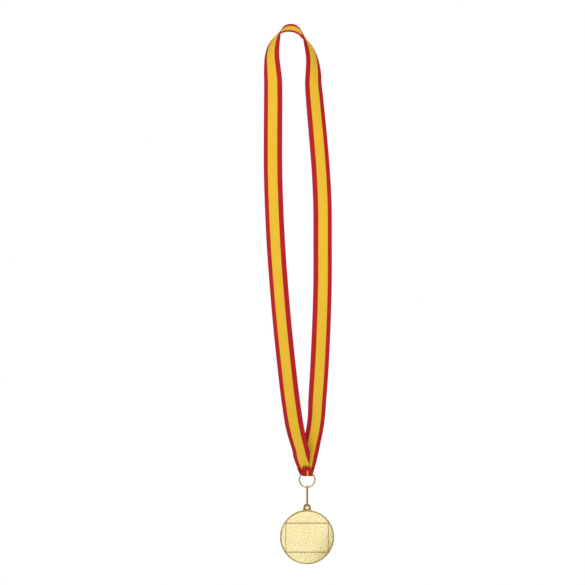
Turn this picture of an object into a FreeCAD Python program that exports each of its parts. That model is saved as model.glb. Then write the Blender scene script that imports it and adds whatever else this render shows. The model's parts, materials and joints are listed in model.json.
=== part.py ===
"""Neck medal: a cast disc on a link and a jump ring, hung from a striped woven ribbon.

Millimetres. +Z is up and the medal hangs straight down. -Y is the front, which carries the
engraving panel. The origin is inside the top of the ribbon loop, where a neck or a hook holds it.
"""
import FreeCAD, Part
import math
import os

V = FreeCAD.Vector

# Ribbon: one woven strip, cut about 0.88 m long, with both ends sewn back round the ring.
RIBBON_WIDTH = 17.2
RIBBON_THICK = 0.35
PLY_PITCH = 0.45            # from one layer to the next where the layers lie together
FOLD_WIDTH = 9.4            # width of the pleated strip where it passes through the ring
STITCH_Z = -406.2           # row of stitches that closes the eye round the ring
TAIL_END_Z = -405.2         # cut ends of the ribbon, just above the stitches

# Metalwork. Everything below the ribbon hangs on one vertical line.
HANG_X = 14.7
RING_CENTRE_Z = -418.5
RING_RADIUS = 7.1           # to the middle of the wire
RING_WIRE_RADIUS = 0.7
RING_SEAM_ANGLE = -58.0     # where the two ends of the wire meet, from +X
SEAM_GAP = 0.12
LINK_WIRE_RADIUS = 0.65
LINK_BEND_RADIUS = 2.3      # to the middle of the wire
LINK_TURN = -8.0            # the link stands nearly edge-on to the front
REST_GAP = 0.1              # between two metal pieces that hang on each other

# Die-cast disc with its lug
DISC_RADIUS = 25.0
DISC_THICK = 2.8
DISC_CENTRE_Z = -471.7
RIM_WIDTH = 1.0
FIELD_DEPTH = 0.35          # the sand-grained field lies this far below the rim
PANEL_WIDTH = 39.4
PANEL_HEIGHT = 25.8
PANEL_OFFSET_Z = -0.4       # the panel's middle, from the disc's centre
GROOVE_WIDTH = 1.0
GROOVE_DEPTH = 0.3
SIDE_LINE_WIDTH = 0.4
SIDE_LINE_DEPTH = 0.15
LUG_RADIUS = 3.45           # round top, about the hole's centre
LUG_HOLE_RADIUS = 1.6
LUG_HOLE_Z = -444.2
LUG_THICK = 1.6

# Stitches
STITCH_LENGTH = 1.7
STITCH_PITCH = 2.3
STITCH_THREAD = 0.3

# Places that follow from the sizes above
# The ring rests in the fold at the fold's two ends, so it swings about the line through them.
RING_PIVOT_Z = RING_CENTRE_Z + math.sqrt(RING_RADIUS ** 2 - (FOLD_WIDTH / 2) ** 2)
RING_BOTTOM_Z = RING_CENTRE_Z - RING_RADIUS
LINK_TOP_Z = RING_BOTTOM_Z + RING_WIRE_RADIUS + LINK_WIRE_RADIUS + REST_GAP
LINK_BOTTOM_Z = -443.6      # middle of the wire in the lug's hole
EYE_INNER_RADIUS = 2.5      # room for the ring's top arc to swing in the ribbon's eye
WIRE_UNDERSIDE_Z = RING_CENTRE_Z + math.sqrt((RING_RADIUS - RING_WIRE_RADIUS) ** 2 - (FOLD_WIDTH / 2) ** 2)
EYE_CENTRE_Z = WIRE_UNDERSIDE_Z - 1.2 * REST_GAP + EYE_INNER_RADIUS

# Middle of the strip: x, y, z, how far it is turned about its own length in degrees, and width.
# At no turn it faces the front. Where it is turned by 90 degrees or more, over the top of the
# loop, the strip stands on edge with its inner side forward and up.
LEFT_STRAND = [
    (11.3, 0.23, STITCH_Z, 0, 11.4),
    (10.2, 0.15, -400.3, 0, 13.5),
    (8.8, 0.05, -391.0, 0, 16.2),
    (6.3, 0.0, -381.8, 0, RIBBON_WIDTH),
    (-0.2, 0.0, -346.7, 0, RIBBON_WIDTH),
    (-4.4, 0.0, -311.3, 0, RIBBON_WIDTH),
    (-8.2, 0.0, -275.8, 0, RIBBON_WIDTH),
    (-11.2, 0.0, -240.3, 0, RIBBON_WIDTH),
    (-13.8, 0.0, -204.7, 0, RIBBON_WIDTH),
    (-15.7, 0.0, -169.1, 0, RIBBON_WIDTH),
    (-16.7, 0.0, -133.4, 2, RIBBON_WIDTH),
    (-16.8, 0.0, -97.8, 4, RIBBON_WIDTH),
    (-16.8, 0.0, -62.1, 9, RIBBON_WIDTH),
    (-17.0, 0.0, -45.0, 20, RIBBON_WIDTH),
    (-17.5, 0.0, -31.0, 36, RIBBON_WIDTH),
    (-16.5, 0.0, -19.4, 50, RIBBON_WIDTH),
    (-14.0, 0.0, -10.6, 68, RIBBON_WIDTH),
]
OVER_THE_TOP = [
    (-9.9, 0.0, -3.6, 88, RIBBON_WIDTH),
    (-5.9, 0.0, -0.7, 105, RIBBON_WIDTH),
    (-0.6, 0.0, 0.2, 115, RIBBON_WIDTH),
    (4.6, 0.0, -1.5, 112, RIBBON_WIDTH),
    (8.6, 0.0, -4.9, 100, RIBBON_WIDTH),
    (12.2, 0.0, -9.8, 86, RIBBON_WIDTH),
]
RIGHT_STRAND = [
    (15.4, 0.0, -15.9, 70, RIBBON_WIDTH),
    (17.8, 0.0, -22.6, 60, RIBBON_WIDTH),
    (19.7, 0.0, -34.0, 46, RIBBON_WIDTH),
    (20.3, 0.0, -47.5, 32, RIBBON_WIDTH),
    (22.0, 0.0, -68.0, 18, RIBBON_WIDTH),
    (24.9, 0.0, -100.5, 12, RIBBON_WIDTH),
    (27.2, 0.0, -129.0, 8, RIBBON_WIDTH),
    (28.8, 0.0, -160.0, 3, RIBBON_WIDTH),
    (29.2, 0.0, -200.0, 0, RIBBON_WIDTH),
    (29.0, 0.0, -243.0, 0, RIBBON_WIDTH),
    (27.8, 0.0, -278.7, 0, RIBBON_WIDTH),
    (26.0, 0.2, -314.3, -4, RIBBON_WIDTH),
    (23.9, 0.8, -350.0, -14, RIBBON_WIDTH),
    (21.4, 1.5, -372.5, -18, RIBBON_WIDTH),
    (19.8, 1.5, -382.0, -15, 16.8),
    (17.9, 1.2, -391.0, -9, 15.0),
    (16.6, 0.9, -400.3, -4, 13.2),
    (15.9, 0.68, STITCH_Z, 0, 11.8),
]


def box(x_range, y_range, z_range):
    size = [high - low for low, high in (x_range, y_range, z_range)]
    return Part.makeBox(*size, V(x_range[0], y_range[0], z_range[0]))


def eye_stations(ply_radius, ply_y, mid_x, width_in, going_down):
    """Strip round the ring: from the stitches behind, under the ring, to the cut end in front."""
    arc_angles = (-20, 10, 40, 65, 90, 115, 140, 170, 200)
    arc = [(HANG_X, ply_radius * math.cos(math.radians(a)),
            EYE_CENTRE_Z - ply_radius * math.sin(math.radians(a))) for a in arc_angles]
    points = arc + [(HANG_X, -ply_y, STITCH_Z), (HANG_X, -ply_y, TAIL_END_Z)]
    widths = [width_in] + [FOLD_WIDTH] * (len(points) - 1)
    points[0] = ((mid_x + HANG_X) / 2, points[0][1], points[0][2])
    stations = list(zip(points, widths))
    return stations if going_down else stations[::-1]


def rectangle(centre, across, through, width):
    """Cross-section of the strip: a thin rectangle about its middle."""
    half_w = across * (width / 2)
    half_t = through * (RIBBON_THICK / 2)
    corners = [centre - half_w - half_t, centre + half_w - half_t,
               centre + half_w + half_t, centre - half_w + half_t]
    return Part.makePolygon(corners + corners[:1])


def strip_frames():
    """Centre, direction across and width at each station, from one cut end to the other."""
    frames = []
    inner_ply = EYE_INNER_RADIUS + RIBBON_THICK / 2 + 0.02
    outer_ply = inner_ply + PLY_PITCH
    for point, width in eye_stations(inner_ply, PLY_PITCH / 2, LEFT_STRAND[0][0], 10.4, False):
        frames.append((V(*point), V(1, 0, 0), width))
    route = LEFT_STRAND + OVER_THE_TOP + RIGHT_STRAND
    for i, (x, y, z, turn, width) in enumerate(route):
        before, after = route[max(i - 1, 0)], route[min(i + 1, len(route) - 1)]
        heading = math.atan2(after[0] - before[0], after[2] - before[2])
        if i in (0, len(route) - 1):
            heading = 0.0 if i == 0 else math.pi
        sideways = V(math.cos(heading), 0, -math.sin(heading))
        turned = math.radians(turn)
        frames.append((V(x, y, z), sideways * math.cos(turned) - V(0, 1, 0) * math.sin(turned), width))
    for point, width in eye_stations(outer_ply, 1.5 * PLY_PITCH, RIGHT_STRAND[-1][0], 10.8, True):
        frames.append((V(*point), V(-1, 0, 0), width))
    return frames


def make_ribbon():
    frames = strip_frames()
    sections = []
    for i, (centre, across, width) in enumerate(frames):
        ahead = frames[min(i + 1, len(frames) - 1)][0] - frames[max(i - 1, 0)][0]
        through = ahead.cross(across).normalize()
        sections.append(rectangle(centre, across, through, width))
    length = sum((b[0] - a[0]).Length for a, b in zip(frames, frames[1:]))
    print("ribbon length %.0f mm" % length)
    return Part.makeLoft(sections, True, True)


def make_ring():
    """Jump ring: round wire bent to a circle, its two ends butted at the seam."""
    centre = V(HANG_X, 0, RING_CENTRE_Z)
    gap_angle = math.degrees(SEAM_GAP / RING_RADIUS)
    section = Part.Face(Part.Wire(Part.makeCircle(
        RING_WIRE_RADIUS, centre + V(RING_RADIUS, 0, 0), V(0, 0, 1))))
    ring = section.revolve(centre, V(0, -1, 0), 360 - gap_angle)
    ring.rotate(centre, V(0, -1, 0), RING_SEAM_ANGLE + gap_angle / 2)
    return ring


def make_link():
    """Long oval link: two legs and two round bends, with the seam in the rear leg."""
    top, bottom = LINK_TOP_Z - LINK_BEND_RADIUS, LINK_BOTTOM_Z + LINK_BEND_RADIUS
    seam_z = (top + bottom) / 2 + 2.0
    spans = [(-LINK_BEND_RADIUS, bottom, top),
             (LINK_BEND_RADIUS, bottom, seam_z - SEAM_GAP / 2),
             (LINK_BEND_RADIUS, seam_z + SEAM_GAP / 2, top)]
    pieces = [Part.makeCylinder(LINK_WIRE_RADIUS, high - low, V(0, y, low), V(0, 0, 1))
              for y, low, high in spans]
    for z, side in ((top, 1), (bottom, -1)):
        section = Part.Face(Part.Wire(Part.makeCircle(
            LINK_WIRE_RADIUS, V(0, LINK_BEND_RADIUS, z), V(0, 0, 1))))
        pieces.append(section.revolve(V(0, 0, z), V(side, 0, 0), 180))
    link = pieces[0].fuse(pieces[1:]).removeSplitter()
    link.rotate(V(0, 0, 0), V(0, 0, 1), LINK_TURN)
    link.translate(V(HANG_X, 0, 0))
    return link


def make_medal_disc():
    """Cast disc: raised rim, recessed fields on both sides, engraving panel, and the lug."""
    centre = V(HANG_X, 0, DISC_CENTRE_Z)
    front, back = -DISC_THICK / 2, DISC_THICK / 2
    field_radius = DISC_RADIUS - RIM_WIDTH
    disc = Part.makeCylinder(DISC_RADIUS, DISC_THICK, centre + V(0, front, 0), V(0, 1, 0))
    for y in (front, back - FIELD_DEPTH):
        disc = disc.cut(Part.makeCylinder(field_radius, FIELD_DEPTH, centre + V(0, y, 0), V(0, 1, 0)))

    field_y = front + FIELD_DEPTH
    panel_mid = DISC_CENTRE_Z + PANEL_OFFSET_Z
    panel_low, panel_high = panel_mid - PANEL_HEIGHT / 2, panel_mid + PANEL_HEIGHT / 2
    inside_rim = Part.makeCylinder(field_radius, 1.0, centre + V(0, field_y, 0), V(0, 1, 0))
    across = (HANG_X - DISC_RADIUS, HANG_X + DISC_RADIUS)
    for low in (panel_high, panel_low - GROOVE_WIDTH):
        groove = box(across, (field_y, field_y + GROOVE_DEPTH), (low, low + GROOVE_WIDTH))
        disc = disc.cut(groove.common(inside_rim))
    for x in (HANG_X - PANEL_WIDTH / 2, HANG_X + PANEL_WIDTH / 2 - SIDE_LINE_WIDTH):
        line = box((x, x + SIDE_LINE_WIDTH), (field_y, field_y + SIDE_LINE_DEPTH),
                   (panel_low - 0.2, panel_high + 0.2))
        disc = disc.cut(line.common(inside_rim))
    return disc.fuse(make_lug()).removeSplitter()


def make_lug():
    """Pierced lug, cast in one with the disc's top edge."""
    foot_z = DISC_CENTRE_Z + DISC_RADIUS - RIM_WIDTH / 2
    crown = Part.makeCylinder(LUG_RADIUS, LUG_THICK, V(HANG_X, -LUG_THICK / 2, LUG_HOLE_Z), V(0, 1, 0))
    neck = box((HANG_X - LUG_RADIUS, HANG_X + LUG_RADIUS), (-LUG_THICK / 2, LUG_THICK / 2),
               (foot_z, LUG_HOLE_Z))
    hole = Part.makeCylinder(LUG_HOLE_RADIUS, 2 * LUG_THICK, V(HANG_X, -LUG_THICK, LUG_HOLE_Z), V(0, 1, 0))
    return crown.fuse(neck).cut(hole)


def make_stitching():
    """Row of stitches across the layers: short lengths of thread in front and behind."""
    stack = 1.5 * PLY_PITCH + RIBBON_THICK / 2
    front_y = -stack - STITCH_THREAD / 2 - REST_GAP
    back_y = -front_y
    stitches = []
    for y in (front_y, back_y):
        for k in (-1.5, -0.5, 0.5, 1.5):
            start = V(HANG_X + k * STITCH_PITCH - STITCH_LENGTH / 2, y, STITCH_Z)
            stitches.append(Part.makeCylinder(STITCH_THREAD / 2, STITCH_LENGTH, start, V(1, 0, 0)))
    return Part.makeCompound(stitches)


def main():
    os.makedirs("parts", exist_ok=True)
    parts = {
        "ribbon": make_ribbon(),
        "stitching": make_stitching(),
        "ring": make_ring(),
        "link": make_link(),
        "medal_disc": make_medal_disc(),
    }
    for name, shape in parts.items():
        print("%-12s valid %s, solids %d, %.1f mm3" % (
            name, shape.isValid(), len(shape.Solids), shape.Volume))
        shape.exportStep("parts/%s.step" % name)


main()
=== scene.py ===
"""Looks of the neck medal: woven ribbon, plated wire ring and link, and sand-grained cast disc.

Metres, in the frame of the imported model. Sizes with MM are millimetres of the real object.
"""
import json
import math

import bmesh
import bpy
import numpy as np
from mathutils import Matrix, Vector, geometry, noise


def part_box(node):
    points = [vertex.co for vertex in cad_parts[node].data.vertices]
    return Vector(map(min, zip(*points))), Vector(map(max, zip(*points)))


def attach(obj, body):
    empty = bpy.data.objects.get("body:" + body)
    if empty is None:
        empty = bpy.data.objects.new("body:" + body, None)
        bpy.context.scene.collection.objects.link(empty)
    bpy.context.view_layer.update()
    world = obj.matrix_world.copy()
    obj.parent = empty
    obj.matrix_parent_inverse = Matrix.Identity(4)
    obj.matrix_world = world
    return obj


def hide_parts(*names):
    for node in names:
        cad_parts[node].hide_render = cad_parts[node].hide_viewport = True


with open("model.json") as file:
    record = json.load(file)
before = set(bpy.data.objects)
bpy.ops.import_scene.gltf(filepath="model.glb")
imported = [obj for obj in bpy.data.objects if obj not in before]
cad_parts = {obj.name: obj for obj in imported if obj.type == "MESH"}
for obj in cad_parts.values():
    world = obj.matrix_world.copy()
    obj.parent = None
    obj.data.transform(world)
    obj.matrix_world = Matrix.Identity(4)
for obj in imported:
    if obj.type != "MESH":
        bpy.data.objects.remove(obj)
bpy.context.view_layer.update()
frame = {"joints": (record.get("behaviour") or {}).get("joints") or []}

MM = 0.001

# ---------------------------------------------------------------- sizes
RIBBON_WIDTH = 17.2 * MM
RIBBON_THICK = 0.24 * MM
OUTER_STRIPE = 3.85 * MM            # red stripe along the ribbon's outer edge
INNER_STRIPE = 4.65 * MM            # and along its inner edge
THREAD_PITCH = 0.6 * MM             # as drawn, about twice the real one
LAYER_STEP = 0.28 * MM              # from a layer to the flap folded against it
PLY_STEP = 0.56 * MM                # from one folded ply to the next
EYE_RADIUS = 2.5 * MM               # inside the ribbon's eye, round the ring's top arc
PLEAT_HALF = 4.7 * MM               # half the width of the pleats that the ring bears on
TAIL_FOOT_Z = -409.0 * MM           # the tails stand up in front of the ring from here
TAIL_TOP_Z = -405.0 * MM
STRAND_CURL_DEG = 5.0               # how far the edges turn back all along
CURL_DEG = 26.0                     # and how much farther beside the top of the loop
CURL_FROM = 44.0 * MM               # this curl starts so far under the top,
CURL_RISE = 21.0 * MM               # is full so much higher,
CURL_TO = 0.5 * MM                  # and is gone again so far under the top,
CURL_FALL = 6.0 * MM                # after fading over this height
GATHER_TOP_Z = -395.0 * MM          # the sewing holds the cloth still up to here
LOOSE_RISE = 50.0 * MM              # and lets it go over this height
RIPPLE = 0.35 * MM
RIPPLE_LENGTH = 38.0 * MM
ROW_STEP = 1.3                      # millimetres at most from one row of points to the next
TAIL_ROWS = 14                      # rows of points at each end that the slanting cut moves
STITCH_Z = -406.25 * MM

WIRE_SEAM = 0.12 * MM
RING_SEAM_DEG = -58.0
RING_END_STEP = 0.16 * MM           # the ring's two ends stand a little out of line
LINK_WIRE = 0.65 * MM
LINK_BEND = 2.3 * MM
LINK_TURN_DEG = -8.0                # from edge-on

RIM_WIDTH = 1.0 * MM
RIM_CORNER = 0.28 * MM
FIELD_DEPTH = 0.35 * MM
PANEL_WIDTH = 39.4 * MM
PANEL_HEIGHT = 25.8 * MM
PANEL_DROP = 0.4 * MM               # the panel's middle lies this far under the disc's
PANEL_RISE = 0.06 * MM
GROOVE_WIDTH = 1.05 * MM
GROOVE_DEPTH = 0.32 * MM
SIDE_LINE_WIDTH = 0.7 * MM
SIDE_LINE_DEPTH = 0.15 * MM
GRAIN_HEIGHT = 0.05 * MM            # sand grain in the mould
GRAIN_SIZE = 1.1 * MM
FIELD_PITCH = 0.33 * MM             # spacing of the points that carry the grain
LUG_HOLE_Z = -444.2 * MM
LUG_HOLE_RADIUS = 1.6 * MM
LUG_HALF_WIDTH = 3.45 * MM
LUG_HALF_THICK = 0.8 * MM
GROOVE_TONE = 0.95                  # painted shade in the grooves
SIDE_LINE_TONE = 1.3                # and in the side lines, beside the grooves
LUG_TONE = 0.95                     # painted shade on the lug and on the rim
RIM_TONE = 0.7

VIEW_MIDDLE = Vector((1.2 * MM, 0, -245.2 * MM))
VIEW_WIDTH = 541.7 * MM
LENS = 135.0
SENSOR = 36.0
FLOOR_RADIUS = 0.28
FLOOR_Z = -0.56

# ---------------------------------------------------------------- places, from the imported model
joint_at = {j["name"]: Vector(j["pos_m"]) for j in frame["joints"]}
ring_low, ring_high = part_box("ring")
disc_low, disc_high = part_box("medal_disc")
HANG_X = joint_at["medal_swing"].x
RING_WIRE = (ring_high.y - ring_low.y) / 2
RING_RADIUS = (ring_high.x - ring_low.x) / 2 - RING_WIRE
RING_MID_Z = joint_at["link_swing"].z + RING_RADIUS
LINK_BOTTOM_Z = joint_at["medal_swing"].z
LINK_TOP_Z = joint_at["link_swing"].z + RING_WIRE + LINK_WIRE + 0.1 * MM
DISC_RADIUS = (disc_high.x - disc_low.x) / 2
DISC_HALF = (disc_high.y - disc_low.y) / 2
DISC_Z = disc_low.z + DISC_RADIUS


# ---------------------------------------------------------------- helpers
def add(tree, kind, links=(), **settings):
    """A node with its settings and its inputs, which are values or other nodes' sockets."""
    made = tree.nodes.new(kind)
    for name, value in settings.items():
        setattr(made, name, value)
    for socket, value in dict(links).items():
        if isinstance(value, bpy.types.NodeSocket):
            tree.links.new(value, made.inputs[socket])
        else:
            made.inputs[socket].default_value = value
    return made


def srgb(code):
    """An sRGB hex value as linear red, green, blue and alpha."""
    parts = [int(code[i:i + 2], 16) / 255 for i in (1, 3, 5)]
    return [c / 12.92 if c <= 0.04045 else ((c + 0.055) / 1.055) ** 2.4 for c in parts] + [1.0]


def new_material(name):
    made = bpy.data.materials.new(name)
    made.use_nodes = True
    made.node_tree.nodes.clear()
    return made, made.node_tree


def put(name, data):
    """A new object in the scene."""
    made = bpy.data.objects.new(name, data)
    bpy.context.scene.collection.objects.link(made)
    return made


def dress(piece, material, body, node):
    """Gives a piece its material and smooth faces. It rides on its body in its CAD node's place."""
    piece.data.materials.clear()
    piece.data.materials.append(material)
    piece.data.polygons.foreach_set("use_smooth", [True] * len(piece.data.polygons))
    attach(piece, body)
    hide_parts(node)
    return piece


def settle(carrier, name):
    """The evaluated carrier as a plain mesh object. Its modifiers are gone."""
    bpy.context.view_layer.update()
    evaluated = carrier.evaluated_get(bpy.context.evaluated_depsgraph_get())
    mesh = bpy.data.meshes.new_from_object(evaluated)
    bpy.data.objects.remove(carrier)
    return put(name, mesh)


def run_nodes(name, tree, inputs, mesh):
    """Runs a Geometry Nodes tree on a mesh, with inputs by their names, and settles it."""
    carrier = put(name + "_carrier", mesh)
    modifier = carrier.modifiers.new("shape", "NODES")
    modifier.node_group = tree
    for item in tree.interface.items_tree:
        if item.in_out == "INPUT" and item.name in inputs:
            modifier[item.identifier] = inputs[item.name]
    return settle(carrier, name)


def new_tree(name, sizes):
    tree = bpy.data.node_groups.new(name, "GeometryNodeTree")
    tree.interface.new_socket("Geometry", in_out="INPUT", socket_type="NodeSocketGeometry")
    for size in sizes:
        tree.interface.new_socket(size, in_out="INPUT", socket_type="NodeSocketFloat")
    tree.interface.new_socket("Geometry", in_out="OUTPUT", socket_type="NodeSocketGeometry")
    return tree, add(tree, "NodeGroupInput").outputs


def finish_tree(tree, shape, material):
    real = add(tree, "GeometryNodeRealizeInstances", {"Geometry": shape})
    painted = add(tree, "GeometryNodeSetMaterial", {"Geometry": real.outputs[0], "Material": material})
    add(tree, "NodeGroupOutput", {"Geometry": painted.outputs[0]})
    return tree


# ---------------------------------------------------------------- materials
def woven_ribbon():
    """Woven polyester ribbon: dyed yarns with a soft satin sheen, fine cross ribs from the weft,
    and stripe borders that step from yarn to yarn. Threads are drawn at 0.6 mm, about twice the
    real pitch, because finer ones are too small to show."""
    material, tree = new_material("woven_polyester_ribbon")
    uv = add(tree, "ShaderNodeUVMap", uv_map="weave")
    measured = add(tree, "ShaderNodeVectorMath", {0: uv.outputs[0], "Scale": RIBBON_WIDTH / MM},
                   operation="SCALE")                       # millimetres across and along
    across = add(tree, "ShaderNodeSeparateXYZ", {0: measured.outputs[0]}).outputs[0]
    phase = add(tree, "ShaderNodeVectorMath",
                {0: measured.outputs[0], "Scale": 2 * math.pi * MM / THREAD_PITCH}, operation="SCALE")
    crests = add(tree, "ShaderNodeVectorMath", {0: phase.outputs[0]}, operation="SINE")
    warp, weft = add(tree, "ShaderNodeSeparateXYZ", {0: crests.outputs[0]}).outputs[:2]
    weave = add(tree, "ShaderNodeMath", {0: weft, 1: warp}, operation="MULTIPLY").outputs[0]

    # Yellow between two borders, which step by part of a yarn at each pick
    outer_border = OUTER_STRIPE / MM
    inner_border = (RIBBON_WIDTH - INNER_STRIPE) / MM
    step, blur = 0.13, 0.1
    shifted = add(tree, "ShaderNodeMath", {0: weft, 1: step, 2: across},
                  operation="MULTIPLY_ADD").outputs[0]
    yellow_in = add(tree, "ShaderNodeMapRange",
                    {0: shifted, 1: outer_border - blur, 2: outer_border + blur})
    yellow_out = add(tree, "ShaderNodeMapRange",
                     {0: shifted, 1: inner_border - blur, 2: inner_border + blur, 3: 1.0, 4: 0.0})
    yellow_share = add(tree, "ShaderNodeMath", {0: yellow_in.outputs[0], 1: yellow_out.outputs[0]},
                       operation="MULTIPLY")

    # Uneven yarns: long streaks along the warp, and a mottle
    drawn_out = add(tree, "ShaderNodeVectorMath", {0: measured.outputs[0], 1: (2.2, 0.12, 0.0)},
                    operation="MULTIPLY")
    streaks = add(tree, "ShaderNodeTexNoise",
                  {"Vector": drawn_out.outputs[0], "Scale": 1.0, "Detail": 3.0})
    mottle = add(tree, "ShaderNodeTexNoise", {"Vector": measured.outputs[0], "Scale": 0.8,
                                             "Detail": 4.0, "Roughness": 0.7})
    yellow = add(tree, "ShaderNodeMix", {0: streaks.outputs[0], 6: srgb("#cda020"), 7: srgb("#deb635")},
                 data_type="RGBA")
    red = add(tree, "ShaderNodeMix", {0: streaks.outputs[0], 6: srgb("#98121a"), 7: srgb("#b11a24")},
              data_type="RGBA")
    dyed = add(tree, "ShaderNodeMix",
               {0: yellow_share.outputs[0], 6: red.outputs[2], 7: yellow.outputs[2]}, data_type="RGBA")
    shade = add(tree, "ShaderNodeMapRange", {0: mottle.outputs[0], 1: 0.3, 2: 0.7, 3: 0.93, 4: 1.05})
    threads = add(tree, "ShaderNodeMapRange", {0: weave, 1: -1.0, 2: 1.0, 3: 0.93, 4: 1.04})
    tone = add(tree, "ShaderNodeMath", {0: shade.outputs[0], 1: threads.outputs[0]},
               operation="MULTIPLY")
    colour = add(tree, "ShaderNodeMix", {0: 1.0, 6: dyed.outputs[2], 7: tone.outputs[0]},
                 data_type="RGBA", blend_type="MULTIPLY")

    ribs = add(tree, "ShaderNodeMath", {0: weft, 1: 0.3}, operation="MULTIPLY")
    rise = add(tree, "ShaderNodeMath", {0: weave, 1: 0.5, 2: ribs.outputs[0]}, operation="MULTIPLY_ADD")
    bump = add(tree, "ShaderNodeBump",
               {"Height": rise.outputs[0], "Strength": 0.35, "Distance": 0.08 * MM})
    shader = add(tree, "ShaderNodeBsdfPrincipled", {
        "Base Color": colour.outputs[2], "Roughness": 0.7, "Specular IOR Level": 0.12,
        "Sheen Weight": 0.03, "Sheen Roughness": 0.4, "Normal": bump.outputs[0]})
    add(tree, "ShaderNodeOutputMaterial", {0: shader.outputs[0]})
    return material


def sewing_thread():
    """Spun polyester sewing thread: matt, a little darker than the ribbon, with a twist."""
    material, tree = new_material("polyester_sewing_thread")
    place = add(tree, "ShaderNodeTexCoord")
    fibres = add(tree, "ShaderNodeTexNoise",
                 {"Vector": place.outputs["Object"], "Scale": 1 / (0.35 * MM), "Detail": 3.0})
    colour = add(tree, "ShaderNodeMix", {0: fibres.outputs[0], 6: srgb("#a87a1e"), 7: srgb("#d9a93a")},
                 data_type="RGBA")
    bump = add(tree, "ShaderNodeBump",
               {"Height": fibres.outputs[0], "Strength": 0.4, "Distance": 0.05 * MM})
    shader = add(tree, "ShaderNodeBsdfPrincipled", {
        "Base Color": colour.outputs[2], "Roughness": 0.8, "Sheen Weight": 0.2,
        "Normal": bump.outputs[0]})
    add(tree, "ShaderNodeOutputMaterial", {0: shader.outputs[0]})
    return material


def plated_wire():
    """Gold-plated steel wire, drawn and bent: bright, with faint draw lines and dulled patches."""
    material, tree = new_material("gold_plated_steel_wire")
    place = add(tree, "ShaderNodeTexCoord")
    patches = add(tree, "ShaderNodeTexNoise",
                  {"Vector": place.outputs["Object"], "Scale": 1 / (3.0 * MM), "Detail": 3.0})
    colour = add(tree, "ShaderNodeMix", {0: patches.outputs[0], 6: srgb("#96794a"), 7: srgb("#cfb684")},
                 data_type="RGBA")
    rough = add(tree, "ShaderNodeMapRange", {0: patches.outputs[0], 1: 0.3, 2: 0.7, 3: 0.2, 4: 0.32})
    lines = add(tree, "ShaderNodeTexNoise",
                {"Vector": place.outputs["Object"], "Scale": 1 / (1.5 * MM), "Detail": 2.0})
    bump = add(tree, "ShaderNodeBump",
               {"Height": lines.outputs[0], "Strength": 0.15, "Distance": 0.06 * MM})
    shader = add(tree, "ShaderNodeBsdfPrincipled", {
        "Base Color": colour.outputs[2], "Metallic": 1.0, "Roughness": rough.outputs[0],
        "Normal": bump.outputs[0]})
    add(tree, "ShaderNodeOutputMaterial", {0: shader.outputs[0]})
    return material


def plated_casting():
    """Gold-plated zinc casting: sand-grained in the mould, so light spreads on it. Each grain's glint or
    shade is painted into the colour as light and dark speckle, and painted shade darkens the lower
    right, the grooves, the field beside the rim, the rim and the lug. Edges that are handled and
    polished in plating are smoother and deeper gold."""
    material, tree = new_material("gold_plated_zinc_casting")
    place = add(tree, "ShaderNodeTexCoord")
    smooth = add(tree, "ShaderNodeAttribute", attribute_name="polish")
    painted_shade = add(tree, "ShaderNodeAttribute", attribute_name="painted_shade")
    grain = add(tree, "ShaderNodeTexNoise", {"Vector": place.outputs["Object"], "Scale": 1 / GRAIN_SIZE,
                                            "Detail": 5.0, "Roughness": 0.75})
    cloud = add(tree, "ShaderNodeTexNoise",
                {"Vector": place.outputs["Object"], "Scale": 1 / (9.0 * MM), "Detail": 2.0})

    # Painted shade toward the lower right edge: more of the grain is dark there, and darker
    parts = add(tree, "ShaderNodeSeparateXYZ", {0: place.outputs["Object"]})
    lean = -0.6
    middle = HANG_X + lean * DISC_Z
    slant = add(tree, "ShaderNodeMath", {0: parts.outputs[2], 1: lean, 2: parts.outputs[0]},
                operation="MULTIPLY_ADD")
    shaded_low_right = add(tree, "ShaderNodeMapRange",
                    {0: slant.outputs[0], 1: middle + 11 * MM, 2: middle + 30 * MM})
    dark_grain_share = add(tree, "ShaderNodeMapRange", {0: shaded_low_right.outputs[0], 3: 0.32, 4: 0.46})
    grain_glint_and_shade = add(tree, "ShaderNodeMapRange", {0: grain.outputs[0], 1: dark_grain_share.outputs[0], 2: 0.64})
    shadow = add(tree, "ShaderNodeMix",
                 {0: shaded_low_right.outputs[0], 6: srgb("#c6b064"), 7: srgb("#957a26")}, data_type="RGBA")

    # Painted glints on the light grains and painted shade on the dark ones
    field = add(tree, "ShaderNodeMix",
                {0: grain_glint_and_shade.outputs[0], 6: shadow.outputs[2], 7: srgb("#fffbd8")}, data_type="RGBA")
    tint = add(tree, "ShaderNodeMix", {0: cloud.outputs[0], 6: srgb("#f3eedb"), 7: srgb("#fffefa")},
               data_type="RGBA")
    clouded = add(tree, "ShaderNodeMix", {0: 1.0, 6: field.outputs[2], 7: tint.outputs[2]},
                  data_type="RGBA", blend_type="MULTIPLY")
    even = add(tree, "ShaderNodeMix",
               {0: smooth.outputs["Fac"], 6: clouded.outputs[2], 7: srgb("#d3bf7c")}, data_type="RGBA")
    # Painted shade, as stored on the mesh: grooves, side lines, beside the rim, the rim and the lug
    colour = add(tree, "ShaderNodeMix",
                 {0: painted_shade.outputs["Fac"], 6: even.outputs[2], 7: srgb("#6c500c")}, data_type="RGBA")
    rough = add(tree, "ShaderNodeMapRange", {0: smooth.outputs["Fac"], 3: 0.5, 4: 0.28})
    bump = add(tree, "ShaderNodeBump",
               {"Height": grain.outputs[0], "Strength": 0.5, "Distance": 0.12 * MM})
    shader = add(tree, "ShaderNodeBsdfPrincipled", {
        "Base Color": colour.outputs[2], "Metallic": 1.0, "Roughness": rough.outputs[0],
        "Normal": bump.outputs[0]})
    add(tree, "ShaderNodeOutputMaterial", {0: shader.outputs[0]})
    return material


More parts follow.
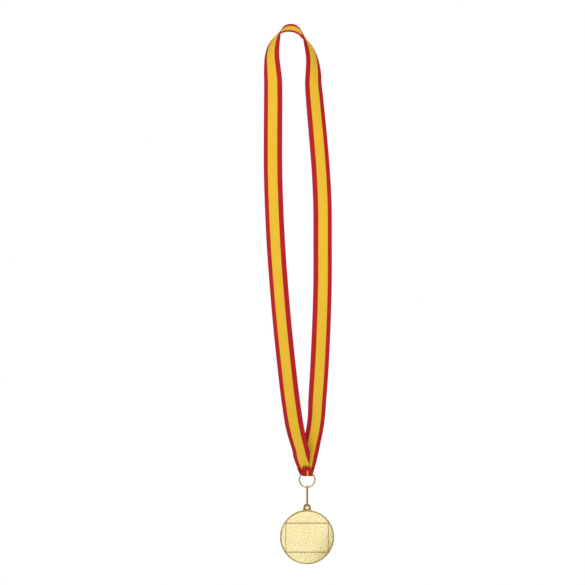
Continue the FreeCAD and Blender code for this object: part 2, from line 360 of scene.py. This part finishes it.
# ---------------------------------------------------------------- ribbon
# Middle of the strip, or of its flat part where its edges are folded behind: x, y, z, its turn
# about its own length in degrees, and how much of its outer and inner edge is folded. Millimetres.
LEFT_STRAND = [
    (11.75, 1.5, -409.0, 0, 0.8, 5.9),
    (11.3, 0.13, -406.2, 2, 1.0, 4.8),
    (10.8, 0.13, -403.3, 8, 0.9, 3.6),
    (10.2, 0.12, -400.3, 16, 0.7, 2.4),
    (9.5, 0.05, -396.0, 22, 0.3, 1.0),
    (8.7, 0.0, -391.0, 26, 0, 0.2),
    (7.5, 0.0, -386.4, 25, 0, 0),
    (6.2, 0.0, -381.8, 22, 0, 0),
    (3.9, 0.0, -372.5, 14, 0, 0),
    (-0.3, 0.0, -346.7, 3, 0, 0),
    (-4.5, 0.0, -311.3, 0, 0, 0),
    (-8.2, 0.0, -275.8, 0, 0, 0),
    (-11.3, 0.0, -240.3, 0, 0, 0),
    (-13.9, 0.0, -204.7, 0, 0, 0),
    (-15.7, 0.0, -169.1, 0, 0, 0),
    (-16.8, 0.0, -133.4, 2, 0, 0),
    (-16.9, 0.0, -97.8, 4, 0, 0),
    (-16.75, 0.0, -62.1, 8, 0, 0),
    (-17.0, 0.0, -47.0, 15, 0, 0),
    (-18.3, 0.0, -33.6, 29, 0, 0),
    (-18.9, 0.0, -26.4, 35, 0, 0),
    (-18.4, 0.0, -19.2, 44, 0, 0),
    (-15.9, 0.0, -10.9, 60, 0, 0),
]
OVER_THE_TOP = [
    (-10.8, 0.0, -3.9, 88, 0, 0),
    (-6.6, 0.0, -1.1, 102, 0, 0),
    (-0.6, 0.0, 0.1, 109, 0, 0),
    (5.3, 0.0, -1.3, 107, 0, 0),
    (9.4, 0.0, -3.9, 100, 0, 0),
    (12.4, 0.0, -7.9, 90, 0, 0),
]
RIGHT_STRAND = [
    (17.2, 0.0, -15.5, 64, 0, 0),
    (19.7, 0.0, -22.4, 53, 0, 0),
    (20.8, 0.0, -29.5, 46, 0, 0),
    (20.9, 0.0, -40.0, 35, 0, 0),
    (20.6, 0.0, -50.8, 27, 0, 0),
    (21.7, 0.0, -65.0, 20, 0, 0),
    (24.9, 0.0, -100.5, 12, 0, 0),
    (27.2, 0.0, -129.0, 9, 0, 0),
    (28.8, 0.0, -160.0, 3, 0, 0),
    (29.1, 0.0, -200.0, 0, 0, 0),
    (28.9, 0.0, -243.0, 0, 0, 0),
    (27.8, 0.0, -278.7, 0, 0, 0),
    (26.1, 0.2, -314.3, -6, 0, 0),
    (24.0, 0.8, -346.0, -16, 0, 0),
    (22.9, 1.2, -363.3, -23, 0, 0),
    (21.6, 1.6, -372.5, -25, 0, 0),
    (19.8, 1.7, -381.8, -26, 0, 0.2),
    (17.9, 1.5, -391.0, -22, 0.3, 0.8),
    (17.0, 1.2, -396.0, -16, 0.5, 2.0),
    (16.5, 1.0, -400.3, -9, 0.8, 3.0),
    (16.2, 0.8, -403.3, -4, 0.9, 3.8),
    (15.95, 0.7, -406.2, 0, 1.0, 4.5),
    (15.65, 1.9, -409.0, 0, 1.0, 5.3),
]
# The ends in front of the ring, from the eye up to the cut edge: x, y, z and folds
INNER_TAIL = [
    (14.5, -1.5, -409.0, 4.2, 4.8),
    (15.2, -0.13, -406.2, 4.9, 5.5),
    (15.2, -0.13, -405.9, 5.0, 5.6),
]
OUTER_TAIL = [
    (15.1, -2.1, -409.2, 4.6, 4.8),
    (15.2, -0.9, -406.2, 5.0, 5.6),
    (15.25, -0.85, -405.2, 5.1, 5.7),
]


def eye_stations(radius, behind, below, in_front):
    """Strip round the ring, from behind through the bottom to the front: x, y, z and folds."""
    wire_inside = math.sqrt((RING_RADIUS - RING_WIRE) ** 2 - PLEAT_HALF ** 2)
    floor_z = (RING_MID_Z + wire_inside) / MM - 0.12            # just clear of the wire
    mid_z = floor_z + EYE_RADIUS / MM
    halfway = [(a + b) / 2 for a, b in zip(behind, below)]
    stations = []
    for angle, (x, outer, inner) in ((-15, behind), (20, halfway), (55, below), (90, below),
                                     (125, in_front), (160, in_front), (195, in_front)):
        a = math.radians(angle)
        stations.append((x, radius * math.cos(a), mid_z - radius * math.sin(a), outer, inner))
    return stations


def strip_stations():
    """Every station of the ribbon: place, direction across, and folds, from end to end."""
    inner_ply = EYE_RADIUS / MM + 0.13          # to the middle of the cloth
    outer_ply = inner_ply + PLY_STEP / MM
    inner_eye = eye_stations(inner_ply, (12.4, 1.1, 6.0), (13.8, 3.4, 4.5), (13.85, 3.7, 4.2))
    outer_eye = eye_stations(outer_ply, (15.5, 1.2, 5.8), (15.2, 3.6, 4.6), (15.15, 4.25, 4.1))
    stations = []
    for x, y, z, outer, inner in INNER_TAIL[::-1] + inner_eye[::-1]:
        stations.append((x, y, z, 1, 0, 0, outer, inner))
    route = LEFT_STRAND + OVER_THE_TOP + RIGHT_STRAND
    for i, (x, y, z, turn, outer, inner) in enumerate(route):
        before, after = route[max(i - 1, 0)], route[min(i + 1, len(route) - 1)]
        heading = math.atan2(after[0] - before[0], after[2] - before[2])
        turned = math.radians(turn)
        side = (math.cos(heading) * math.cos(turned), -math.sin(turned),
                -math.sin(heading) * math.cos(turned))
        stations.append((x, y, z, *side, outer, inner))
    for x, y, z, outer, inner in outer_eye + OUTER_TAIL:
        stations.append((x, y, z, -1, 0, 0, outer, inner))
    return stations


def through(stations, spacing):
    """A smooth curve through rows of numbers, the first three of which are a place."""
    rows = np.array(stations, float)
    spans = np.linalg.norm(np.diff(rows[:, :3], axis=0), axis=1)
    slope = np.diff(rows, axis=0) / spans[:, None]
    before, after = spans[:-1, None], spans[1:, None]
    between = (slope[:-1] * after + slope[1:] * before) / (before + after)
    tangent = np.vstack([slope[:1], between, slope[-1:]])
    counts = np.maximum(2, np.ceil(spans / spacing).astype(int))
    points = [rows[:1]]
    for i, count in enumerate(counts):
        t = (np.arange(1, count + 1) / count)[:, None]
        share = 3 * t ** 2 - 2 * t ** 3
        points.append((1 - share) * rows[i] + share * rows[i + 1]
                      + (t ** 3 - 2 * t ** 2 + t) * spans[i] * tangent[i]
                      + (t ** 3 - t ** 2) * spans[i] * tangent[i + 1])
    return np.vstack(points)


def unit(vectors):
    return vectors / np.linalg.norm(vectors, axis=-1, keepdims=True)


def folded_edge(distance, fold_width, radius):
    """Where a point of a flap goes, by its distance past the fold line: sideways and behind."""
    turn = np.pi * np.clip(fold_width / (2.0 * MM), 0.0, 1.0)
    bend = np.minimum(distance, radius * turn)
    angle = bend / radius
    rest = distance - bend
    sideways = radius * np.sin(angle) + rest * np.cos(turn)
    return sideways, radius * (1 - np.cos(angle)) + rest * np.sin(turn)


def folded_section(outer, inner):
    """Points across the strip, in rows along it: the outer flap, the flat part and the inner
    flap. Each point's place in the strip's width, then its place sideways from the middle of the
    flat part and behind it."""
    flap, flat = np.linspace(0, 1, 9), np.linspace(0, 1, 25)[1:-1]
    least = 0.9 * MM                # a flap's share of the points, where the edge isn't folded
    line_out, line_in = np.maximum(outer, least), RIBBON_WIDTH - np.maximum(inner, least)
    u = np.hstack([line_out * flap, line_out + (line_in - line_out) * flat,
                   line_in + (RIBBON_WIDTH - line_in) * flap])
    flat_mid = (outer + RIBBON_WIDTH - inner) / 2
    across, back = u - flat_mid, np.zeros_like(u)

    # The inner flap lies on the flat part, and the outer one over it where the two meet
    tight = LAYER_STEP / 2
    wide = tight * (1 + np.clip((outer + inner - 8.2 * MM) / (0.6 * MM), 0, 1))
    past_in, past_out = u - (RIBBON_WIDTH - inner), outer - u
    sideways, rise = folded_edge(np.clip(past_in, 0, None), inner, tight)
    across = np.where(past_in > 0, RIBBON_WIDTH - inner - flat_mid + sideways, across)
    back = np.where(past_in > 0, rise, back)
    sideways, rise = folded_edge(np.clip(past_out, 0, None), outer, wide)
    across = np.where(past_out > 0, outer - flat_mid - sideways, across)
    back = np.where(past_out > 0, rise, back)
    return u, across, back


def curled(across, back, z, loose):
    """The section with its edges turned back a little, most beside the top of the loop."""
    lift = (np.clip((CURL_FROM + z) / CURL_RISE, 0, 1)
            * np.clip((-z - CURL_TO) / CURL_FALL, 0, 1))
    bend = np.radians(STRAND_CURL_DEG * loose + CURL_DEG * lift) / RIBBON_WIDTH
    curl = across * np.sinc(bend * across / np.pi) * np.sin(bend * across)
    return across * np.sinc(2 * bend * across / np.pi), back + curl


def slow_wave(run, share):
    """Cloth is never quite flat: a slow wave along its two edges and its middle, from -1 to 1."""
    knots = np.array([[noise.noise((s / RIPPLE_LENGTH, 4.0 * w, 3.1)) for w in (0.0, 0.5, 1.0)]
                      for s in run])
    return (knots[:, :1] * (1 - share) ** 2 + knots[:, 1:2] * 2 * share * (1 - share)
            + knots[:, 2:] * share ** 2)


def cut_at_a_slant(tail):
    """Raises or lowers a tail's rows so that it ends as the folded edges pull it: level, then
    lower toward its right."""
    x, z = tail[..., 0], tail[..., 2]
    top = z.max()
    cut = TAIL_TOP_Z
    for slope, from_x in ((0.28, 11.6 * MM), (0.5, 16.8 * MM)):
        cut = cut - slope * np.clip(x - from_x, 0, None)
    share_up = np.clip((z - TAIL_FOOT_Z) / (top - TAIL_FOOT_Z), 0, 1)
    z += share_up * (cut - top)


def cloth_skin(surface, half):
    """Points and faces of a closed cloth: its two faces, half a thickness off, and its edges."""
    normal = unit(np.cross(np.gradient(surface, axis=0), np.gradient(surface, axis=1)))
    front, rear = surface - normal * half[..., None], surface + normal * half[..., None]
    verts = np.vstack([front.reshape(-1, 3), rear.reshape(-1, 3)])
    index = np.arange(half.size).reshape(half.shape)
    other = index + half.size
    faces = []
    for a, b, c, d in ((index[:-1, :-1], index[1:, :-1], index[1:, 1:], index[:-1, 1:]),
                       (other[:-1, :-1], other[:-1, 1:], other[1:, 1:], other[1:, :-1]),
                       (index[:-1, 0], other[:-1, 0], other[1:, 0], index[1:, 0]),
                       (index[:-1, -1], index[1:, -1], other[1:, -1], other[:-1, -1]),
                       (index[0, :-1], index[0, 1:], other[0, 1:], other[0, :-1]),
                       (index[-1, :-1], other[-1, :-1], other[-1, 1:], index[-1, 1:])):
        faces.append(np.stack([a.ravel(), b.ravel(), c.ravel(), d.ravel()], 1))
    return verts, np.vstack(faces)


def lay_weave(mesh, u, run):
    """The weave's own map: across and along the strip, both in widths of the ribbon."""
    along = np.repeat(run[:, None], u.shape[1], 1)
    place = np.stack([u, along], -1).reshape(-1, 2) / RIBBON_WIDTH
    both_faces = np.vstack([place, place])
    corners = np.zeros(len(mesh.loops), np.int32)
    mesh.loops.foreach_get("vertex_index", corners)
    weave = mesh.uv_layers.new(name="weave")
    weave.data.foreach_set("uv", both_faces[corners].ravel())


def make_ribbon(material):
    """The whole ribbon as one closed strip of cloth along its route."""
    dense = through(strip_stations(), ROW_STEP)
    middle = dense[:, :3] * MM
    outer, inner = (np.clip(dense[:, k], 0, None)[:, None] * MM for k in (6, 7))
    tangent = unit(np.gradient(middle, axis=0))
    side = dense[:, 3:6]
    side = unit(side - tangent * (side * tangent).sum(1, keepdims=True))
    behind = np.cross(tangent, side)
    z = middle[:, 2:]
    loose = np.clip((z - GATHER_TOP_Z) / LOOSE_RISE, 0, 1)

    u, across, back = folded_section(outer, inner)
    across, back = curled(across, back, z, loose)
    run = np.concatenate([[0], np.cumsum(np.linalg.norm(np.diff(middle, axis=0), axis=1))])
    back = back + loose * RIPPLE * slow_wave(run, u / RIBBON_WIDTH)
    surface = middle[:, None] + side[:, None] * across[..., None] + behind[:, None] * back[..., None]
    for tail in (surface[:TAIL_ROWS], surface[-TAIL_ROWS:]):
        cut_at_a_slant(tail)

    # The selvedges are a little thicker than the cloth
    selvedge = np.exp(-(np.minimum(u, RIBBON_WIDTH - u) / (0.45 * MM)) ** 2)
    half = (RIBBON_THICK / 2) * (1 + 0.25 * selvedge * loose)
    verts, faces = cloth_skin(surface, half)
    mesh = bpy.data.meshes.new("ribbon_woven")
    mesh.from_pydata(verts.tolist(), [], faces.tolist())
    lay_weave(mesh, u, run)
    return dress(put("ribbon_woven", mesh), material, "ribbon", "ribbon")


# ---------------------------------------------------------------- stitches
def stitch_tree(material):
    """Stitches along a line: each a short arch of thread, one every pitch."""
    tree, given = new_tree("stitches", ("Pitch", "Stitch", "Thread"))
    line = add(tree, "GeometryNodeMeshToCurve", {0: given["Geometry"]})
    spaced = add(tree, "GeometryNodeResampleCurve",
                 {"Curve": line.outputs[0], "Length": given["Pitch"]}, mode="LENGTH")
    half = add(tree, "ShaderNodeMath", {0: given["Stitch"], 1: 0.5}, operation="MULTIPLY").outputs[0]
    minus = add(tree, "ShaderNodeMath", {0: half, 1: -1.0}, operation="MULTIPLY").outputs[0]
    start = add(tree, "ShaderNodeCombineXYZ", {"Z": minus})
    end = add(tree, "ShaderNodeCombineXYZ", {"Z": half})
    arch = add(tree, "GeometryNodeCurveQuadraticBezier", {
        "Resolution": 6, "Start": start.outputs[0], "Middle": (0.0, 0.0, 0.0), "End": end.outputs[0]})
    section = add(tree, "GeometryNodeCurvePrimitiveCircle", {"Resolution": 8, "Radius": given["Thread"]})
    thread = add(tree, "GeometryNodeCurveToMesh", {
        "Curve": arch.outputs[0], "Profile Curve": section.outputs[0], "Fill Caps": True})
    direction = add(tree, "GeometryNodeInputTangent")
    turn = add(tree, "FunctionNodeAlignEulerToVector", {"Vector": direction.outputs[0]}, axis="Z")
    stitches = add(tree, "GeometryNodeInstanceOnPoints", {
        "Points": spaced.outputs[0], "Instance": thread.outputs[0], "Rotation": turn.outputs[0]})
    return finish_tree(tree, stitches.outputs[0], material)


def make_stitching(material):
    """One seam across the gathered ends, as the runs of stitches that show on its front and its
    back: x and y of each run's two ends, in millimetres."""
    rows = [
        [(6.6, -0.08), (10.9, -0.08)],
        [(12.2, -1.5), (15.4, -1.5)],
        [(17.6, 0.46), (21.0, 0.46)],
        [(6.8, 0.6), (9.8, 0.6)],
        [(11.2, 1.2), (20.8, 1.2)],
    ]
    points = [(x * MM, y * MM, STITCH_Z) for row in rows for x, y in row]
    mesh = bpy.data.meshes.new("stitch_lines")
    mesh.from_pydata(points, [(2 * k, 2 * k + 1) for k in range(len(rows))], [])
    sizes = {"Pitch": 1.05 * MM, "Stitch": 0.85 * MM, "Thread": 0.1 * MM}
    stitches = run_nodes("stitching_thread", stitch_tree(material), sizes, mesh)
    return dress(stitches, material, "ribbon", "stitching")


# ---------------------------------------------------------------- ring and link
def wire_tree(material):
    """Round wire along a line of edges, with closed ends."""
    tree, given = new_tree("bent_wire", ("Wire radius",))
    line = add(tree, "GeometryNodeMeshToCurve", {0: given["Geometry"]})
    section = add(tree, "GeometryNodeCurvePrimitiveCircle",
                  {"Resolution": 20, "Radius": given["Wire radius"]})
    wire = add(tree, "GeometryNodeCurveToMesh", {
        "Curve": line.outputs[0], "Profile Curve": section.outputs[0], "Fill Caps": True})
    return finish_tree(tree, wire.outputs[0], material)


def bend_wire(name, points, radius, tree, material, body):
    """Wire bent through the points. Its CAD node has the same name as its body."""
    mesh = bpy.data.meshes.new(name + "_line")
    mesh.from_pydata([tuple(p) for p in points], [(i, i + 1) for i in range(len(points) - 1)], [])
    wire = run_nodes(name, tree, {"Wire radius": radius}, mesh)
    dress(wire, material, body, body)


def make_ring(tree, material):
    """Round ring from one side of its seam to the other, with its ends a little out of line."""
    gap = WIRE_SEAM / RING_RADIUS
    spans = 180
    points = []
    for k in range(spans + 1):
        share = k / spans
        angle = math.radians(RING_SEAM_DEG) + gap / 2 + share * (2 * math.pi - gap)
        step = RING_END_STEP * (share - 0.5) ** 3 * 4
        points.append((HANG_X + RING_RADIUS * math.cos(angle), step,
                       RING_MID_Z + RING_RADIUS * math.sin(angle)))
    bend_wire("jump_ring", points, RING_WIRE, tree, material, "ring")


def make_link(tree, material):
    """Long oval from the seam in its rear leg, over the top, down the front leg and back."""
    top, bottom = LINK_TOP_Z - LINK_BEND, LINK_BOTTOM_Z + LINK_BEND
    seam = (top + bottom) / 2 + 2 * MM
    outline = [(LINK_BEND, seam + WIRE_SEAM / 2), (LINK_BEND, (seam + top) / 2)]
    arc = [math.radians(a) for a in range(0, 181, 9)]
    outline += [(LINK_BEND * math.cos(a), top + LINK_BEND * math.sin(a)) for a in arc]
    outline += [(-LINK_BEND, bottom + (top - bottom) * share) for share in (0.75, 0.5, 0.25)]
    outline += [(-LINK_BEND * math.cos(a), bottom - LINK_BEND * math.sin(a)) for a in arc]
    outline += [(LINK_BEND, (bottom + seam) / 2), (LINK_BEND, seam - WIRE_SEAM / 2)]
    turn = math.radians(LINK_TURN_DEG)
    points = [(HANG_X - y * math.sin(turn), y * math.cos(turn), z) for y, z in outline]
    bend_wire("oval_link", points, LINK_WIRE, tree, material, "link")


# ---------------------------------------------------------------- cast disc
def grain(x, z, side):
    """Height of the sand grain at a place on the field."""
    at = Vector((x / GRAIN_SIZE, side, z / GRAIN_SIZE))
    return GRAIN_HEIGHT * (noise.noise(at) + 0.6 * noise.noise(at * 2.1))


def groove(offset, width, depth):
    """A rounded groove, by the distance from its middle."""
    share = abs(offset) / (width / 2)
    return depth * 0.5 * (1 + math.cos(math.pi * share)) if share < 1 else 0.0


def front_field(x, z):
    """Height of the front field over its plain level, and the painted shade in its grooves and side
    lines.
    """
    z_panel = z + PANEL_DROP
    # The grooves stray a little and vary in depth, as they do in a casting
    uneven = 1 + 0.35 * noise.noise(Vector((x / (2.4 * MM), 7.0, z / (6 * MM))))
    wander = 0.08 * MM * noise.noise(Vector((x / (4 * MM), 2.0, 0.0)))
    cut = 0.0
    for sign in (-1, 1):
        line_z = sign * (PANEL_HEIGHT + GROOVE_WIDTH) / 2
        cut += groove(z_panel - line_z + wander, GROOVE_WIDTH, GROOVE_DEPTH * uneven)
    # painted shade in the grooves, and below in the side lines
    dark = min(1.0, 1.5 * cut / GROOVE_DEPTH)
    if abs(z_panel) < PANEL_HEIGHT / 2:
        side_line = groove(abs(x) - PANEL_WIDTH / 2, SIDE_LINE_WIDTH, SIDE_LINE_DEPTH)
        cut += side_line
        dark += SIDE_LINE_TONE * side_line / SIDE_LINE_DEPTH
        if abs(x) < PANEL_WIDTH / 2:
            cut -= PANEL_RISE
    return grain(x, z, 0.0) - cut, GROOVE_TONE * dark * uneven


def back_field(x, z):
    """The back field carries only its own sand grain."""
    return grain(x, z, 40.0), 0.0


def field_points(radius, edge_count):
    """Places on a round field: its edge first, then a lattice inside."""
    places = [(radius * math.cos(a), radius * math.sin(a))
              for a in (2 * math.pi * k / edge_count for k in range(edge_count))]
    row_step = FIELD_PITCH * math.sqrt(3) / 2
    for row in range(-int(radius / row_step), int(radius / row_step) + 1):
        shift = FIELD_PITCH / 2 if row % 2 else 0.0
        for column in range(-int(radius / FIELD_PITCH) - 1, int(radius / FIELD_PITCH) + 2):
            x, z = column * FIELD_PITCH + shift, row * row_step
            if math.hypot(x, z) < radius - 0.6 * FIELD_PITCH:
                places.append((x, z))
    return places


def tone(mesh, polish, painted_shade):
    """Stores how smooth the casting is at each point, and how much painted shade it gets."""
    for name, values in (("polish", polish), ("painted_shade", painted_shade)):
        mesh.attributes.new(name, "FLOAT", "POINT").data.foreach_set("value", values)


def rim_section(field_radius, level):
    """The rim from the front field round to the back one: radius and depth."""
    front = [(field_radius + 0.12 * MM, -level - 0.2 * MM),
             (field_radius + 0.25 * MM, -DISC_HALF + 0.05 * MM),
             (field_radius + 0.42 * MM, -DISC_HALF)]
    for a in (math.radians(d) for d in range(0, 91, 18)):
        front.append((DISC_RADIUS - RIM_CORNER + RIM_CORNER * math.sin(a),
                      -DISC_HALF + RIM_CORNER - RIM_CORNER * math.cos(a)))
    return front + [(radius, -y) for radius, y in front[::-1]]


def make_disc(material):
    """Two grained fields and the rim between them, as one closed mesh."""
    edge_count = 480
    field_radius = DISC_RADIUS - RIM_WIDTH
    level = DISC_HALF - FIELD_DEPTH
    fade = 0.9 * MM                 # the grain dies out over this width beside the rim
    places = [Vector(p) for p in field_points(field_radius, edge_count)]
    loop = [(k, (k + 1) % edge_count) for k in range(edge_count)]
    made = geometry.delaunay_2d_cdt(places, loop, [], 1, 1e-9)
    flat, triangles = made[0], made[2]

    verts, faces, polish, painted_shade = [], [], [], []
    for sign, field in ((-1, front_field), (1, back_field)):
        first = len(verts)
        for p in flat:
            ease = min(1.0, max(0.0, (field_radius - p.length) / fade))
            height, dark = field(p.x, p.y)
            verts.append((HANG_X + p.x, sign * (level + height * ease), DISC_Z + p.y))
            polish.append(0.0)
            corner_shade = 0.3 * (1 - ease) ** 3       # painted shade close to the rim
            painted_shade.append(min(1.0, dark + corner_shade))
        for corners in triangles:       # turned over for the back field
            faces.append([first + k for k in corners[::-sign]])

    # Each field starts with its edge, so the rim's rings run from one to the other
    rings = [list(range(edge_count))]
    for radius, y in rim_section(field_radius, level):
        rings.append(list(range(len(verts), len(verts) + edge_count)))
        for k in range(edge_count):
            a = 2 * math.pi * k / edge_count
            verts.append((HANG_X + radius * math.cos(a), y, DISC_Z + radius * math.sin(a)))
            polish.append(1.0)
            # painted shade on the rim
            painted_shade.append(RIM_TONE)
    rings.append([len(flat) + k for k in range(edge_count)])
    for near, far in zip(rings, rings[1:]):
        for k in range(edge_count):
            n = (k + 1) % edge_count
            faces.append((near[k], far[k], far[n], near[n]))
    mesh = bpy.data.meshes.new("disc_body")
    mesh.from_pydata(verts, [], faces)
    mesh.materials.append(material)
    tone(mesh, polish, painted_shade)
    return put("disc_body", mesh)


def lug_outline():
    """Round crown, straight sides, and feet that flare into the rim."""
    crown = [math.radians(d) for d in range(0, 181, 10)]
    foot_z = DISC_Z + DISC_RADIUS - 0.7 * MM
    flare = [(0.0, LUG_HOLE_Z - 0.8 * MM), (0.25 * MM, foot_z + 1.2 * MM),
             (0.9 * MM, foot_z + 0.45 * MM), (1.2 * MM, foot_z)]
    outline = [(LUG_HALF_WIDTH * math.cos(a), LUG_HOLE_Z + LUG_HALF_WIDTH * math.sin(a)) for a in crown]
    outline += [(-LUG_HALF_WIDTH - out, z) for out, z in flare]
    return outline + [(LUG_HALF_WIDTH + out, z) for out, z in flare[::-1]]


def make_lug(material):
    """Pierced lug as a rounded plate: its outline and hole, thickened and eased."""
    ease = 0.22 * MM
    hole = [(LUG_HOLE_RADIUS * math.cos(a), LUG_HOLE_Z + LUG_HOLE_RADIUS * math.sin(a))
            for a in (math.radians(d) for d in range(360, 0, -12))]
    curve = bpy.data.curves.new("lug_outline", "CURVE")
    curve.dimensions = "2D"
    curve.fill_mode = "BOTH"
    curve.extrude = LUG_HALF_THICK - ease
    curve.bevel_depth = ease
    curve.bevel_resolution = 3
    curve.offset = -ease
    for points in (lug_outline(), hole):
        spline = curve.splines.new("POLY")
        spline.points.add(len(points) - 1)
        for point, (x, z) in zip(spline.points, points):
            point.co = (x, z, 0, 1)
        spline.use_cyclic_u = True
    lug = settle(put("lug_carrier", curve), "lug")
    lug.data.transform(Matrix.Translation((HANG_X, 0, 0)) @ Matrix.Rotation(math.pi / 2, 4, "X"))
    shape = bmesh.new()
    shape.from_mesh(lug.data)
    bmesh.ops.remove_doubles(shape, verts=shape.verts, dist=0.002 * MM)
    bmesh.ops.recalc_face_normals(shape, faces=shape.faces)
    shape.to_mesh(lug.data)
    shape.free()
    lug.data.materials.append(material)
    return lug


def make_medal(material):
    """Disc and lug, cast as one piece."""
    disc, lug = make_disc(material), make_lug(material)
    join = disc.modifiers.new("cast_in_one", "BOOLEAN")
    join.operation = "UNION"
    join.solver = "EXACT"
    join.object = lug
    medal = settle(disc, "cast_medal")
    bpy.data.objects.remove(lug)
    polish, painted_shade = medal.data.attributes["polish"].data, medal.data.attributes["painted_shade"].data
    past_rim = DISC_RADIUS + 0.05 * MM
    for vertex in medal.data.vertices:
        if math.hypot(vertex.co.x - HANG_X, vertex.co.z - DISC_Z) > past_rim:
            polish[vertex.index].value = 1.0
            # painted shade on the lug
            painted_shade[vertex.index].value = LUG_TONE
    dress(medal, material, "medal", "medal_disc")


# ---------------------------------------------------------------- stage
# Name, place, what it points at, size, power and colour
LIGHTS = [
    ("key", (-0.9, -1.5, 0.1), VIEW_MIDDLE, 0.9, 4.6, "#fffdf8"),
    ("front", (0.25, -2.4, -0.75), VIEW_MIDDLE, 1.5, 12.0, "#ffffff"),
    ("top", (0.4, -0.55, 0.7), (0, 0, -0.1), 0.8, 3.5, "#fffefa"),
    ("low", (0.0, -0.9, -1.2), (0, 0, 0.0), 0.6, 10.0, "#fffefa"),
    ("rear", (0.7, 2.0, 0.9), VIEW_MIDDLE, 1.4, 26.0, "#ffffff"),
]


def look_at(thing, target):
    thing.rotation_euler = (Vector(target) - thing.location).to_track_quat("-Z", "Y").to_euler()


def make_camera():
    data = bpy.data.cameras.new("camera")
    data.lens = LENS
    data.sensor_width = SENSOR
    camera = put("camera", data)
    camera.location = VIEW_MIDDLE + Vector((0, -VIEW_WIDTH * LENS / SENSOR, 0))
    look_at(camera, VIEW_MIDDLE)
    bpy.context.scene.camera = camera


def make_surroundings():
    """A room that the camera sees as plain white. The pieces are lit by it and the metal reflects
    it: dim on the right, and brighter in front and behind, above and below, and on the left."""
    world = bpy.data.worlds.new("white_room")
    world.use_nodes = True
    tree = world.node_tree
    tree.nodes.clear()
    seen = add(tree, "ShaderNodeBackground", {"Color": (1, 1, 1, 1), "Strength": 1.0})
    direction = add(tree, "ShaderNodeTexCoord")
    parts = add(tree, "ShaderNodeSeparateXYZ", {0: direction.outputs["Generated"]})
    facing = add(tree, "ShaderNodeMath", {0: parts.outputs[1]}, operation="ABSOLUTE")
    walls = add(tree, "ShaderNodeMapRange", {0: facing.outputs[0], 1: 0.2, 2: 0.95, 3: 0.2, 4: 0.5})
    height = add(tree, "ShaderNodeMath", {0: parts.outputs[2]}, operation="ABSOLUTE")
    ends = add(tree, "ShaderNodeMapRange", {0: height.outputs[0], 1: 0.2, 2: 0.9, 3: 0.0, 4: 0.7})
    left = add(tree, "ShaderNodeMapRange", {0: parts.outputs[0], 1: -0.3, 2: -0.9, 3: 0.0, 4: 0.6})
    sides = add(tree, "ShaderNodeMath", {0: walls.outputs[0], 1: left.outputs[0]}, operation="ADD")
    glow = add(tree, "ShaderNodeMath", {0: sides.outputs[0], 1: ends.outputs[0]}, operation="ADD")
    lighting = add(tree, "ShaderNodeBackground", {"Color": srgb("#f4f5f8"), "Strength": glow.outputs[0]})
    ray = add(tree, "ShaderNodeLightPath")
    mixed = add(tree, "ShaderNodeMixShader", {
        0: ray.outputs["Is Camera Ray"], 1: lighting.outputs[0], 2: seen.outputs[0]})
    add(tree, "ShaderNodeOutputWorld", {0: mixed.outputs[0]})
    bpy.context.scene.world = world


def make_light(name, place, target, size, power, colour):
    data = bpy.data.lights.new(name, "AREA")
    data.shape = "SQUARE"
    data.size = size
    data.energy = power
    data.color = srgb(colour)[:3]
    light = put(name, data)
    light.location = place
    look_at(light, target)
    light.visible_camera = False


def white_card():
    """Matt card with a faint unevenness from its fibres."""
    material, tree = new_material("matt_white_card")
    place = add(tree, "ShaderNodeTexCoord")
    fibre = add(tree, "ShaderNodeTexNoise",
                {"Vector": place.outputs["Object"], "Scale": 60.0, "Detail": 3.0})
    white = add(tree, "ShaderNodeMix", {0: fibre.outputs[0], 6: srgb("#f1f1f0"), 7: srgb("#fbfbfa")},
                data_type="RGBA")
    shader = add(tree, "ShaderNodeBsdfPrincipled", {"Base Color": white.outputs[2], "Roughness": 0.9})
    add(tree, "ShaderNodeOutputMaterial", {0: shader.outputs[0]})
    return material


def make_floor():
    """Round card on the floor under the hanging medal."""
    mesh = bpy.data.meshes.new("floor")
    shape = bmesh.new()
    bmesh.ops.create_circle(shape, cap_ends=True, segments=96, radius=FLOOR_RADIUS)
    shape.to_mesh(mesh)
    shape.free()
    mesh.transform(Matrix.Translation((0, 0, FLOOR_Z)))
    mesh.materials.append(white_card())
    put("floor", mesh)


# ---------------------------------------------------------------- the whole medal
bpy.context.scene.view_settings.view_transform = "Standard"
make_camera()
make_surroundings()
for light in LIGHTS:
    make_light(*light)
make_floor()
ribbon = make_ribbon(woven_ribbon())
stitching = make_stitching(sewing_thread())
wire = plated_wire()
bent_wire = wire_tree(wire)
make_ring(bent_wire, wire)
make_link(bent_wire, wire)
make_medal(plated_casting())
